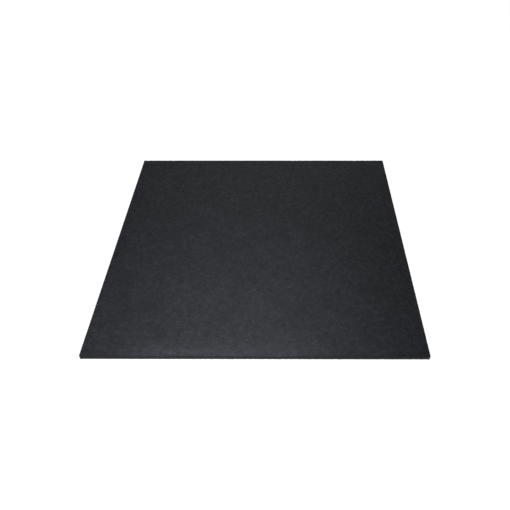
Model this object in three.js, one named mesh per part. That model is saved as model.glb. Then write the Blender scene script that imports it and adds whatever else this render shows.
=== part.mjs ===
// Rubber gym floor tile: one flat square slab of pressed, bonded rubber crumb.
// Millimetres, +Z up. The origin is the centre of the underside, so the tile lies on the plane Z = 0,
// with its sides along X and Y.
import * as THREE from 'three';

// Sizes of the tile, over all
const tileLength = 1000; // along X
const tileWidth = 1000; // along Y
const tileThickness = 15;

// Small roundings that the press leaves
const cornerRadius = 3; // the four upright corners, seen from above
const arrisRadius = 1.2; // the long edges, above and below

// How finely the roundings are faceted
const cornerSegments = 4; // three.js cuts a round stretch of an outline into twice as many
const arrisSegments = 4;

// The tile's look: near-black rubber with a faint blue cast
const rubber = new THREE.MeshStandardMaterial({
  name: 'crumb_rubber',
  color: new THREE.Color().setRGB(0.2, 0.2, 0.215, THREE.SRGBColorSpace),
  roughness: 0.85,
  metalness: 0,
});

// The outline seen from above: a rectangle about the origin with its four corners rounded.
function roundedRectangle(length, width, radius) {
  const straightX = length / 2 - radius;
  const straightY = width / 2 - radius;
  const quarterTurn = Math.PI / 2;
  const shape = new THREE.Shape();
  shape.absarc(straightX, straightY, radius, 0, quarterTurn);
  shape.absarc(-straightX, straightY, radius, quarterTurn, 2 * quarterTurn);
  shape.absarc(-straightX, -straightY, radius, 2 * quarterTurn, 3 * quarterTurn);
  shape.absarc(straightX, -straightY, radius, 3 * quarterTurn, 4 * quarterTurn);
  return shape;
}

// A flat slab standing on Z = 0, with the same small rounding along its upper and lower edges.
function slab(outline, thickness, edgeRadius) {
  const geometry = new THREE.ExtrudeGeometry(outline, {
    depth: thickness - 2 * edgeRadius,
    bevelEnabled: true,
    bevelThickness: edgeRadius,
    bevelSize: edgeRadius,
    bevelOffset: -edgeRadius, // the rounding stays inside the outline
    bevelSegments: arrisSegments,
    curveSegments: cornerSegments,
  });
  return geometry.translate(0, 0, edgeRadius);
}

const rubberTile = new THREE.Mesh(
  slab(roundedRectangle(tileLength, tileWidth, cornerRadius), tileThickness, arrisRadius),
  rubber,
);
rubberTile.name = 'rubber_tile';

const tile = new THREE.Group();
tile.add(rubberTile);

export default tile;
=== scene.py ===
# A rubber gym floor tile: one square slab of pressed, bonded rubber crumb, lying on a white studio floor.
# Metres, +Z up. The slab lies on Z = 0 with its sides along X and Y.
import math

import bmesh
import bpy
from mathutils import Matrix, Vector


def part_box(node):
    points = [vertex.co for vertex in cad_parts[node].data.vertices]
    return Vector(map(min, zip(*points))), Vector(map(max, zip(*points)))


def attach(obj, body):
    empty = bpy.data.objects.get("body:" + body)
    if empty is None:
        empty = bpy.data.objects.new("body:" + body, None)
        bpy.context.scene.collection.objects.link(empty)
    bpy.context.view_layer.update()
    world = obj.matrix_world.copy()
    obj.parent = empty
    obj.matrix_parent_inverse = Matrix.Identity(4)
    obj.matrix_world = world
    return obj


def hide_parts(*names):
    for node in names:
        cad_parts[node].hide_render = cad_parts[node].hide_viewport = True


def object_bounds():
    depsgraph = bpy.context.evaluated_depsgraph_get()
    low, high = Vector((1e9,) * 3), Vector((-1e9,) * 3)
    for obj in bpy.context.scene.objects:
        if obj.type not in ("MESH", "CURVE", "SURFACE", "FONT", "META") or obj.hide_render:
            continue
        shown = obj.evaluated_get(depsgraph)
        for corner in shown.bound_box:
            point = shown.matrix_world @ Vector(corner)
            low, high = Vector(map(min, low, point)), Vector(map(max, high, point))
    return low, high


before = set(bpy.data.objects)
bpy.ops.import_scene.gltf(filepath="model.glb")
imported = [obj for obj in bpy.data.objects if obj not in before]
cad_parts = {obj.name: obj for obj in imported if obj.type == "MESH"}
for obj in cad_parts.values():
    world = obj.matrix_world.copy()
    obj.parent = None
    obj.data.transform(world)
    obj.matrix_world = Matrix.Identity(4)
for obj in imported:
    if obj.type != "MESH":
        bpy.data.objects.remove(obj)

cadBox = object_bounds()


class Wire:
    # One output of a node. Sums written on it become Math nodes.
    def __init__(self, graph, socket):
        self.graph = graph
        self.socket = socket

    def out(self, name):
        # Another output of the same node
        return Wire(self.graph, self.graph.find(self.socket.node.outputs, name))

    def math(self, operation, *values):
        return self.graph.node("ShaderNodeMath", {"operation": operation}, values)

    def __add__(self, other):
        return self.math("ADD", self, other)

    def __radd__(self, other):
        return self.math("ADD", other, self)

    def __sub__(self, other):
        return self.math("SUBTRACT", self, other)

    def __rsub__(self, other):
        return self.math("SUBTRACT", other, self)

    def __mul__(self, other):
        return self.math("MULTIPLY", self, other)

    def __rmul__(self, other):
        return self.math("MULTIPLY", other, self)

    def __rtruediv__(self, other):
        return self.math("DIVIDE", other, self)

    def __lt__(self, other):
        return self.math("LESS_THAN", self, other)

    def __gt__(self, other):
        return self.math("GREATER_THAN", self, other)

    def least(self, other):
        return self.math("MINIMUM", self, other)

    def most(self, other):
        return self.math("MAXIMUM", self, other)

    def size(self):
        return self.math("ABSOLUTE", self)

    def ramp(self, start, end):
        # 0 at start, 1 at end, smooth between them
        values = {"Value": self, "From Min": start, "From Max": end}
        return self.graph.node("ShaderNodeMapRange", {"interpolation_type": "SMOOTHSTEP"}, values)

    def between(self, first, last):
        # A pattern that runs from 0 to 1 runs from first to last
        return self * (last - first) + first

    def around(self, spread):
        # A pattern that runs from 0 to 1 becomes a factor round 1, half the spread to each side
        return (self - 0.5) * spread + 1


class Graph:
    # Adds nodes to one tree, for a material, for the world or for Geometry Nodes.
    def __init__(self, tree):
        self.tree = tree

    def find(self, sockets, key):
        # By number, identifier or name
        if isinstance(key, int):
            return sockets[key]
        for socket in sockets:
            if socket.identifier == key:
                return socket
        return next(socket for socket in sockets if socket.name == key and socket.enabled)

    def node(self, kind, settings=None, values=None, output=None):
        made = self.tree.nodes.new(kind)
        for name, value in (settings or {}).items():
            setattr(made, name, value)
        if not isinstance(values, dict):
            values = dict(enumerate(values or ()))
        for key, value in values.items():
            socket = self.find(made.inputs, key)
            if isinstance(value, Wire):
                self.tree.links.new(value.socket, socket)
            else:
                socket.default_value = value
        if not made.outputs:
            return None
        if output is not None:
            return Wire(self, self.find(made.outputs, output))
        return Wire(self, next(socket for socket in made.outputs if socket.enabled))

    def vector(self, operation, *values):
        return self.node("ShaderNodeVectorMath", {"operation": operation}, values)

    def scaled(self, vector, factor):
        return self.node("ShaderNodeVectorMath", {"operation": "SCALE"}, {"Vector": vector, "Scale": factor})

    def centred(self, pattern):
        # A colour whose channels run from 0 to 1, as a vector round the origin
        return self.vector("SUBTRACT", pattern, (0.5, 0.5, 0.5))

    def split(self, vector):
        return self.node("ShaderNodeSeparateXYZ", None, {"Vector": vector})

    def mixColor(self, factor, first, second, blend="MIX"):
        settings = {"data_type": "RGBA", "blend_type": blend}
        values = {"Factor_Float": factor, "A_Color": first, "B_Color": second}
        return self.node("ShaderNodeMix", settings, values, "Result_Color")

    def noise(self, place, scale, detail=2.0, roughness=0.5):
        values = {"Vector": place, "Scale": scale, "Detail": detail, "Roughness": roughness}
        return self.node("ShaderNodeTexNoise", None, values)

    def cells(self, place, scale, feature="F1"):
        return self.node("ShaderNodeTexVoronoi", {"feature": feature}, {"Vector": place, "Scale": scale})


# Camera

viewSetup = {
    "place": (0.0763, -1.4124, 1.2654),
    "down": 43.18,  # degrees below level
    "left": 0.360,  # degrees
    "roll": -0.203,  # degrees, anticlockwise
    "lens": 37.90,  # millimetres
    "sensor": 36.0,
    "shiftX": -0.0471,  # the picture was cropped off its optical axis
}


def addCamera(setup):
    camera = bpy.data.cameras.new("camera")
    camera.lens = setup["lens"]
    camera.sensor_width = setup["sensor"]
    camera.shift_x = setup["shiftX"]
    holder = bpy.data.objects.new("camera", camera)
    bpy.context.scene.collection.objects.link(holder)
    heading = Matrix.Rotation(math.radians(setup["left"]), 4, "Z")
    tilt = Matrix.Rotation(math.radians(90 - setup["down"]), 4, "X")
    roll = Matrix.Rotation(math.radians(setup["roll"]), 4, "Z")
    holder.matrix_world = Matrix.Translation(Vector(setup["place"])) @ heading @ tilt @ roll
    bpy.context.scene.camera = holder


# Studio

studio = {
    "floorSide": 40.0,
    "floorColor": (0.06, 0.06, 0.06, 1),  # dim, so that the lamps add little to its glow
    "floorGlow": 1.0,  # a light table: the floor stays white right up to the tile
    "backdrop": 1.0,
    "fill": 0.12,  # even light from all around
}

# Soft boxes: the spread in degrees, 180 for a bare one and less for one with a grid
lamps = {
    "overhead": {
        "place": (0.0, 1.2, 1.4), "aim": (0.0, 0.1, 0.0),
        "sides": (1.2, 1.2), "spread": 180, "watts": 19.2,
    },
    "front_left": {
        "place": (-0.35, -1.1, 0.5), "aim": (-0.2, -0.5, 0.0),
        "sides": (0.6, 0.6), "spread": 180, "watts": 5.8,
    },
    "front_right": {
        "place": (0.3, -1.0, 1.3), "aim": (-0.1, -0.45, 0.0),
        "sides": (0.6, 0.6), "spread": 45, "watts": 2.24,
    },
    "front_edge": {
        "place": (-0.1, -0.66, 1.3), "aim": (-0.1, -0.66, 0.0),
        "sides": (0.5, 0.3), "spread": 12, "watts": 0.76,
    },
}


def addFloor(setup):
    half = setup["floorSide"] / 2
    corners = [(-half, -half, 0), (half, -half, 0), (half, half, 0), (-half, half, 0)]
    mesh = bpy.data.meshes.new("floor")
    mesh.from_pydata(corners, [], [(0, 1, 2, 3)])
    floor = bpy.data.objects.new("floor", mesh)
    bpy.context.scene.collection.objects.link(floor)
    paint = bpy.data.materials.new("white_floor")
    paint.use_nodes = True
    shader = paint.node_tree.nodes["Principled BSDF"]
    shader.inputs["Base Color"].default_value = setup["floorColor"]
    shader.inputs["Roughness"].default_value = 1
    shader.inputs["Specular IOR Level"].default_value = 0
    shader.inputs["Emission Color"].default_value = (1, 1, 1, 1)
    shader.inputs["Emission Strength"].default_value = setup["floorGlow"]
    mesh.materials.append(paint)


def addWorld(setup):
    # A pale backdrop where the camera looks past the floor, and a dim fill on the object
    world = bpy.data.worlds.new("studio")
    world.use_nodes = True
    bpy.context.scene.world = world
    world.node_tree.nodes.clear()
    graph = Graph(world.node_tree)
    seen = graph.node("ShaderNodeLightPath", output="Is Camera Ray")
    strength = seen.between(setup["fill"], setup["backdrop"])
    air = graph.node("ShaderNodeBackground", None, {"Color": (1, 1, 1, 1), "Strength": strength})
    graph.node("ShaderNodeOutputWorld", None, {"Surface": air})


def addLamp(name, setup):
    lamp = bpy.data.lights.new(name, "AREA")
    lamp.shape = "RECTANGLE"
    lamp.size, lamp.size_y = setup["sides"]
    lamp.energy = setup["watts"]
    lamp.spread = math.radians(setup["spread"])
    holder = bpy.data.objects.new(name, lamp)
    bpy.context.scene.collection.objects.link(holder)
    place = Vector(setup["place"])
    aim = Vector(setup["aim"]) - place
    holder.matrix_world = Matrix.Translation(place) @ aim.to_track_quat("-Z", "Y").to_matrix().to_4x4()
    holder.visible_camera = False


# Crumb rubber

rubberLook = {
    "crumb": 0.0022,  # width of a crumb
    "bend": 0.0040,  # how far space is bent, which makes some crumbs small and some large
    "bendSize": 0.010,
    "shade": (0.0211, 0.0228, 0.0281),  # mean colour of a crumb
    "shadeSpread": 0.30,  # from the darkest crumb to the lightest, as a share of the mean
    "paleShare": 0.02,  # crumbs that are clearly lighter
    "paleLift": 0.8,  # how much lighter they are
    "gap": 0.00029,  # usual width of the crevices between crumbs
    "patchGap": (-0.5, 2.5),  # times that width, in the tightest and the loosest patches
    "leastGap": 0.1,  # but never less than this
    "touch": (0.36, 0.64),  # where on its noise two crumbs touch, and where they stand apart
    "touchGap": (0.15, 1.85),  # times the width, where they touch and where they stand apart
    "touchTurns": 1.4,  # how often that changes in the width of a crumb
    # painted shade in the crevices and pores between crumbs
    "crevicePaintedShade": (0.008, 0.008, 0.009),
    "pore": 0.0011,  # radius of the widest pore, where a crumb is missing among the others
    "poreFloor": 0.3,  # share of the radius that is its floor
    "poreSpacing": 0.0060,
    "poreDepth": 0.00040,
    "sidePaintedShade": 0.58,  # painted shade: the upright sides are darkened to this share of the faces' colour
    "sideTurn": (0.3, 0.8),  # how far up the surface looks where it counts as side, and as face
    "arrisPaintedShade": 0.35,  # painted shade: a dark line along the upper arris, in from the top's edge and down the top of the sides
    "arrisShadeReach": (0.0012, 0.0034),  # how far from the arris the painted shade is full, and gone
    "patch": 0.017,  # widest patches of crumbs that lie alike
    "patchSpread": 1.52,  # as shadeSpread, from patch to patch, though most lie near the middle
    "mottle": 0.09,  # width of the faint clouds over the whole slab
    "mottleSpread": 0.54,  # as patchSpread
    "gloss": (0.57, 0.66),  # roughness of the glossiest and the dullest crumb
    "gapGloss": 0.9,
    "dome": 0.00016,  # height of a crumb over its crevice
    "domeReach": 0.35,  # how far in from the crevice it has that height, in crumbs
    "tilt": 0.30,  # how much the crumbs' tops lean
    "step": 0.00010,  # how much neighbouring crumbs differ in height
    "grit": 0.00004,
    "gritTurns": 5,  # grains of grit in the width of a crumb
    "specular": 0.16,
}


def crumbRubber(name, look, box):
    rubber = bpy.data.materials.new(name)
    rubber.use_nodes = True
    rubber.node_tree.nodes.clear()
    graph = Graph(rubber.node_tree)
    place = graph.node("ShaderNodeTexCoord", output="Object")

    # Crumbs: a cell pattern in bent space, which runs over the edges without a break
    bend = graph.centred(graph.noise(place, 1 / look["bendSize"], detail=3, roughness=0.55).out("Color"))
    bent = graph.vector("ADD", place, graph.scaled(bend, 2 * look["bend"]))  # the noise reaches half each way
    crumb = graph.cells(bent, 1 / look["crumb"])
    dice = graph.split(crumb.out("Color"))  # three numbers of its own for each crumb
    fromMiddle = graph.vector("SUBTRACT", bent, crumb.out("Position"))
    patch = graph.split(graph.noise(place, 1 / look["patch"], detail=2, roughness=0.78).out("Color"))

    # Crevices and pores
    rim = graph.cells(bent, 1 / look["crumb"], "DISTANCE_TO_EDGE")
    touch = graph.noise(place, look["touchTurns"] / look["crumb"], detail=1).ramp(*look["touch"])
    gapWidth = patch.out("Y").between(*look["patchGap"]).most(look["leastGap"])
    gapWidth = gapWidth * touch.between(*look["touchGap"]) * (look["gap"] / look["crumb"])
    gap = 1 - rim.ramp(0, gapWidth)
    pore = graph.cells(bent, 1 / look["poreSpacing"])
    poreWidth = graph.split(pore.out("Color")).out("X") * (look["pore"] / look["poreSpacing"])
    pore = 1 - pore.ramp(poreWidth * look["poreFloor"], poreWidth)
    gap = gap.most(pore)

    # Shade: the crumbs' own tones, with painted shade on the sides, along the upper arris and in the crevices
    level = dice.out("X").around(look["shadeSpread"])
    level = level * patch.out("X").around(look["patchSpread"])
    level = level * graph.noise(place, 1 / look["mottle"], detail=1).around(look["mottleSpread"])
    level = level * ((dice.out("Y") < look["paleShare"]) * look["paleLift"] + 1)
    facing = graph.split(graph.node("ShaderNodeTexCoord", output="Normal"))
    upright = 1 - facing.out("Z").size().ramp(*look["sideTurn"])
    # painted shade on the upright sides
    level = level * (1 - upright * (1 - look["sidePaintedShade"]))
    middle = graph.split(graph.vector("SUBTRACT", place, fromMiddle))  # of this point's crumb
    high = Vector(box[1])
    toSide = high.x - middle.out("X").size().most(middle.out("Y").size())
    toTop = high.z - middle.out("Z")
    arrisShadeMask = 1 - toSide.most(toTop).ramp(*look["arrisShadeReach"])  # 1 along the upper arris, where shade is painted
    level = level * (1 - arrisShadeMask * (1 - look["arrisPaintedShade"]))
    grey = graph.node("ShaderNodeCombineColor", None, {"Red": level, "Green": level, "Blue": level})
    color = graph.mixColor(1.0, (*look["shade"], 1), grey, "MULTIPLY")
    # painted shade in the crevices and pores
    color = graph.mixColor(gap, color, (*look["crevicePaintedShade"], 1))

    # Gloss
    roughness = dice.out("Z").between(*look["gloss"]) + gap * (look["gapGloss"] - look["gloss"][1])

    # Relief, in metres
    tilt = graph.vector("DOT_PRODUCT", fromMiddle, graph.centred(crumb.out("Color")))
    grit = graph.noise(place, look["gritTurns"] / look["crumb"], detail=2)
    height = rim.ramp(0, look["domeReach"]) * look["dome"] + tilt * look["tilt"]
    height = height + dice.out("Y") * look["step"] + grit * look["grit"] - pore * look["poreDepth"]
    bump = graph.node("ShaderNodeBump", None, {"Strength": 1.0, "Distance": 1.0, "Height": height})

    finish = {
        "Base Color": color,
        "Roughness": roughness,
        "Normal": bump,
        "Specular IOR Level": look["specular"],
    }
    shader = graph.node("ShaderNodeBsdfPrincipled", None, finish)
    graph.node("ShaderNodeOutputMaterial", None, {"Surface": shader})
    return rubber


# The slab

slabForm = {
    "cornerRadius": 0.003,  # upright corners, seen from above
    "arrisRadius": 0.0012,  # long edges, above and below
    "coarseSteps": 200,  # coarse mesh cells across a face, two more than a multiple of three
    "upperCoarsenings": 1,  # from the fine cells, each time three to one
    "lowerCoarsenings": 2,  # the underside is hidden
    "bandRows": 2,  # fine rows between the arris and the coarse cells
    "upperArrisRows": 4,
    "sideRows": 7,
    "lowerArrisRows": 3,
    "edgeFade": (0.5, 3.0),  # fine steps past the fine rows, over which the relief of the edges ends
    "arrisFade": (0.5, 3.0),  # arris radii from an edge, over which nicks end and loosened points begin
    "pitWall": (0.05, 0.22),  # a pit's floor and its rim, from its middle, as shares of the spacing
    "crumbWall": (0.15, 0.75),  # a crumb's flat top and its foot, in the same way
    "crumbRound": 0.5,  # share of the crumbs' relief that is their round tops; the rest is steps
    "nickWall": (0.10, 0.32),
    "blurRounds": 24,  # how evenly the relief's direction turns round the edges
    "relief": {
        "Jitter": 0.28,  # of a mesh step, along the surface
        "Swell": 0.00045,  # depth of the gentle waves in the face
        "Swell Size": 0.012,
        "Pit Depth": 0.0003,  # where a crumb is missing from the face
        "Pit Spacing": 0.030,
        "Crumb Size": 0.0034,
        "Crumb Depth": 0.0007,  # relief of the crumbs on the sides
        "Nick Depth": 0.0010,  # where a crumb is missing from an edge
        "Nick Spacing": 0.016,
        "Nick Share": 0.30,
        "Seed": 4,
    },
}

cellRatio = 3  # a coarse cell is this many fine ones wide; fillFace joins three to one


def roundedPlace(x, y, half, radius):
    # Moves a point of a square ring onto the same ring with round corners
    across = half - min(abs(x), abs(y))  # along the side, from the ring's corner
    reach = 3 * radius  # the points this near to the corner share the arc and what is left of the side
    if across >= reach or radius == 0:
        return x, y
    bow = radius * math.pi / 4  # half of a corner's arc
    run = across / reach * (bow + reach - radius)
    if run < bow:
        angle = math.pi / 4 - run / radius
        near = radius - radius * math.sin(angle)
        off = radius - radius * math.cos(angle)
    else:
        near = radius + run - bow
        off = 0.0
    long, short = half - near, half - off
    if abs(x) >= abs(y):
        return math.copysign(short, x), math.copysign(long, y)
    return math.copysign(long, x), math.copysign(short, y)


def slabMesh(low, high, form):
    # A closed slab: fine along its edges, coarser over its two faces
    corner, arris = form["cornerRadius"], form["arrisRadius"]
    band = form["bandRows"]
    count = cellRatio * form["coarseSteps"] + 2 * band  # fine steps along the flat of a face
    half = (high.x - low.x) / 2
    middle = (low + high) / 2
    flat = 2 * (half - arris)
    step = flat / count
    vertices, faces, known = [], [], {}

    def vertex(level, i, j):
        # level names a ring of the edge, or the upper or lower face
        key = (level, i, j)
        if key not in known:
            inset, z = profile[level]
            ring = min(i, j, count - i, count - j)
            reach = half - inset - ring * step
            grow = (half - inset) / (half - arris)
            x, y = (i * step - flat / 2) * grow, (j * step - flat / 2) * grow
            if ring <= band:
                x, y = roundedPlace(x, y, reach, max(corner - inset - ring * step, 0.0))
            known[key] = len(vertices)
            vertices.append((middle.x + x, middle.y + y, z))
        return known[key]

    def turned(i, j, quarter):
        for _ in range(quarter):
            i, j = count - j, i
        return i, j

    def face(level, points, quarter=0):
        faces.append([vertex(level, *turned(i, j, quarter)) for i, j in points])

    def cell(level, i, j, size=1):
        face(level, [(i, j), (i + size, j), (i + size, j + size), (i, j + size)])

    def fillFace(level, coarsenings):
        # Fine cells round the edge, then a ring that joins three cells to one for each coarsening
        for i in range(count):
            for j in range(count):
                if min(i, j, count - 1 - i, count - 1 - j) < band:
                    cell(level, i, j)
        start, end, size = band, count - band, 1
        for _ in range(coarsenings):
            wide = cellRatio * size
            for quarter in range(4):
                outer = [(start + k * size, start) for k in range(4)]
                inner = (start + wide, start + wide)
                for k in range(3):
                    face(level, [outer[k], outer[k + 1], inner], quarter)
                    mirrored = [(j, i) for i, j in (outer[k], outer[k + 1])]
                    face(level, [*mirrored, inner], quarter)
                for i in range(start + wide, end - wide, wide):
                    near = [(i + k * size, start) for k in range(4)]
                    far = [(i, start + wide), (i + wide, start + wide)]
                    face(level, [near[0], near[1], far[0]], quarter)
                    face(level, [near[1], near[2], far[1], far[0]], quarter)
                    face(level, [near[2], near[3], far[1]], quarter)
            start, end, size = start + wide, end - wide, wide
        for i in range(start, end, size):
            for j in range(start, end, size):
                cell(level, i, j, size)

    def quarterRound(rows, top):
        # (inset, height) from the face to the side
        points = []
        for row in range(rows + 1):
            angle = math.pi / 2 * row / rows
            drop = arris * (1 - math.cos(angle))
            points.append((arris * (1 - math.sin(angle)), high.z - drop if top else low.z + drop))
        return points

    upper = quarterRound(form["upperArrisRows"], True)
    lower = quarterRound(form["lowerArrisRows"], False)[::-1]
    sideHeight = high.z - low.z - 2 * arris
    sideRows = form["sideRows"]
    side = [(0.0, high.z - arris - sideHeight * row / sideRows) for row in range(1, sideRows)]
    profile = upper + side + lower

    fillFace(0, form["upperCoarsenings"])
    fillFace(len(profile) - 1, form["lowerCoarsenings"])
    loop = []
    for quarter in range(4):
        loop += [turned(i, 0, quarter) for i in range(count)]
    for level in range(len(profile) - 1):
        for here, there in zip(loop, loop[1:] + loop[:1]):
            faces.append([vertex(level, *here), vertex(level, *there),
                          vertex(level + 1, *there), vertex(level + 1, *here)])

    mesh = bpy.data.meshes.new("crumb_slab")
    mesh.from_pydata(vertices, [], faces)
    shell = bmesh.new()
    shell.from_mesh(mesh)
    bmesh.ops.recalc_face_normals(shell, faces=shell.faces)
    shell.to_mesh(mesh)
    shell.free()
    return mesh, step


def reliefTree(low, high, form, step):
    # Pushes the slab's points inwards: waves and pits on its faces, crumbs and nicks along its edges
    tree = bpy.data.node_groups.new("pressed_crumb_relief", "GeometryNodeTree")
    sockets = tree.interface
    sockets.new_socket("Geometry", in_out="INPUT", socket_type="NodeSocketGeometry")
    for name, value in form["relief"].items():
        kind = "NodeSocketInt" if isinstance(value, int) else "NodeSocketFloat"
        sockets.new_socket(name, in_out="INPUT", socket_type=kind)
    sockets.new_socket("Material", in_out="INPUT", socket_type="NodeSocketMaterial")
    sockets.new_socket("Geometry", in_out="OUTPUT", socket_type="NodeSocketGeometry")

    graph = Graph(tree)
    given = graph.node("NodeGroupInput")
    place = graph.node("GeometryNodeInputPosition")
    normal = graph.node("GeometryNodeInputNormal")
    seed = given.out("Seed")

    # Where a point is: edge is 1 along the edges and 0 over the faces, onArris is 1 on the arris alone
    axes = graph.split(place)
    half = (high.x - low.x) / 2
    toSide = half - axes.out("X").size().most(axes.out("Y").size())
    toEnd = half - axes.out("X").size().least(axes.out("Y").size())
    toFace = (high.z - axes.out("Z")).least(axes.out("Z") - low.z)
    arris = form["arrisRadius"]
    edge = 1 - toSide.ramp(*(arris + (form["bandRows"] + steps) * step for steps in form["edgeFade"]))
    toArris = toSide.most(toFace.least(toEnd))
    onArris = 1 - toArris.ramp(*(radii * arris for radii in form["arrisFade"]))

    # Loosens the even rows of points within the surface, but leaves the narrow rows on the arris alone
    draw = {"data_type": "FLOAT_VECTOR"}
    loose = graph.node("FunctionNodeRandomValue", draw, {"Min": (-1, -1, -1), "Max": (1, 1, 1), "Seed": seed})
    loose = graph.scaled(loose, edge.between(cellRatio, 1) * (1 - onArris) * step * given.out("Jitter"))
    loose = graph.vector("SUBTRACT", loose, graph.vector("PROJECT", loose, normal))
    place = graph.vector("ADD", place, loose)
    seedShift = (1.7, 2.3, 0.9)  # another seed, another pattern
    drawn = graph.vector("ADD", place, graph.scaled(seedShift, seed))

    # Faces: gentle waves, and pits where a crumb came out
    deep = graph.noise(drawn, 1 / given.out("Swell Size")) * given.out("Swell")
    pit = graph.cells(drawn, 1 / given.out("Pit Spacing"))
    deep = deep + (1 - pit.ramp(*form["pitWall"])) * given.out("Pit Depth") * (1 - edge)

    # Edges: the sides of crumbs, and nicks
    bead = graph.cells(drawn, 1 / given.out("Crumb Size"))
    sunk = graph.split(bead.out("Color")).out("X")
    beadShape = bead.ramp(*form["crumbWall"]) * form["crumbRound"] + sunk * (1 - form["crumbRound"])
    deep = deep + beadShape * given.out("Crumb Depth") * edge
    nick = graph.cells(drawn, 1 / given.out("Nick Spacing"))
    nicked = graph.split(nick.out("Color")).out("Y") < given.out("Nick Share")
    nickDepth = (1 - nick.ramp(*form["nickWall"])) * given.out("Nick Depth")
    deep = deep + nickDepth * nicked * edge * onArris

    # One even direction round each edge, so that the surface doesn't fold over itself
    even = {"Value": normal, "Iterations": form["blurRounds"]}
    outwards = graph.node("GeometryNodeBlurAttribute", {"data_type": "FLOAT_VECTOR"}, even)
    outwards = graph.vector("NORMALIZE", outwards)
    place = graph.vector("SUBTRACT", place, graph.scaled(outwards, deep))
    place = graph.vector("MINIMUM", place, tuple(high))  # never outside the stock
    place = graph.vector("MAXIMUM", place, tuple(low))
    moved = graph.node("GeometryNodeSetPosition", None, {"Geometry": given, "Position": place})
    smooth = graph.node("GeometryNodeSetShadeSmooth", None, {"Geometry": moved})
    whole = graph.node("GeometryNodeRealizeInstances", None, {"Geometry": smooth})
    finish = {"Geometry": whole, "Material": given.out("Material")}
    painted = graph.node("GeometryNodeSetMaterial", None, finish)
    graph.node("NodeGroupOutput", None, {"Geometry": painted})
    return tree


def bake(builder):
    # The evaluated result as a plain mesh object at the origin
    evaluated = builder.evaluated_get(bpy.context.evaluated_depsgraph_get())
    mesh = bpy.data.meshes.new_from_object(evaluated)
    name, blank = builder.name, builder.data
    bpy.data.objects.remove(builder)
    bpy.data.meshes.remove(blank)
    mesh.name = name
    piece = bpy.data.objects.new(name, mesh)
    bpy.context.scene.collection.objects.link(piece)
    return piece


def makeSlab(form, material):
    low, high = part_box("rubber_tile")
    mesh, step = slabMesh(low, high, form)
    builder = bpy.data.objects.new("crumb_slab", mesh)
    bpy.context.scene.collection.objects.link(builder)
    tree = reliefTree(low, high, form, step)
    modifier = builder.modifiers.new("relief", "NODES")
    modifier.node_group = tree
    given = {**form["relief"], "Material": material}
    for item in tree.interface.items_tree:
        if item.in_out == "INPUT" and item.name in given:
            modifier[item.identifier] = given[item.name]
    piece = bake(builder)
    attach(piece, "root")
    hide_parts("rubber_tile")
    return piece


addCamera(viewSetup)
bpy.context.scene.view_settings.view_transform = "Standard"  # white stays white
addFloor(studio)
addWorld(studio)
for lampName, lampSetup in lamps.items():
    addLamp(lampName, lampSetup)
print("studio and camera are set")

rubber = crumbRubber("crumb_rubber_look", rubberLook, cadBox)
print("rubber:", len(rubber.node_tree.nodes), "nodes")

slab = makeSlab(slabForm, rubber)
slab.data.calc_loop_triangles()
print("slab:", len(slab.data.vertices), "points,", len(slab.data.loop_triangles), "triangles")
